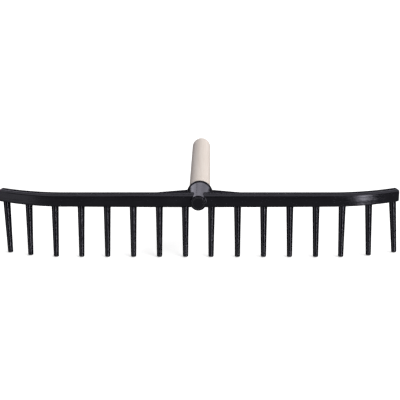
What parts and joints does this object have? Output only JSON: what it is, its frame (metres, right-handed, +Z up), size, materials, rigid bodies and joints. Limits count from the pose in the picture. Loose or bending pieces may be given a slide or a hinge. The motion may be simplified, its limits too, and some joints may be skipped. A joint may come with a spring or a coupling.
{
  "type": "hay rake",
  "caption": "Wide hand rake with a bowed black plastic head, a single row of straight round tines and a long pale wooden handle held in a tapered socket.",
  "frame": {"origin": "on the floor, under the middle of the whole rake's box, with the rake lying on its tine tips and on the end of its grip", "axes": "+Z up, +Y from the head to the free end of the handle, +X along the head to the right as seen from in front of the head"},
  "size_m": [0.6336, 1.8096, 0.1066],
  "materials": {
    "black_plastic": "moulded black nylon, semi-gloss with fine scuffs",
    "pale_wood": "sanded pale ash, uncoated, straight grain",
    "zinc_steel": "dull zinc plating"
  },
  "bodies": {
    "root": {"head": "black_plastic", "socket_cap": "black_plastic", "handle": "pale_wood", "handle_screw": "zinc_steel", "tine_01": "black_plastic", "tine_02": "black_plastic", "tine_03": "black_plastic", "tine_04": "black_plastic", "tine_05": "black_plastic", "tine_06": "black_plastic", "tine_07": "black_plastic", "tine_08": "black_plastic", "tine_09": "black_plastic", "tine_10": "black_plastic", "tine_11": "black_plastic", "tine_12": "black_plastic", "tine_13": "black_plastic", "tine_14": "black_plastic", "tine_15": "black_plastic", "tine_16": "black_plastic"}
  },
  "joints": []
}
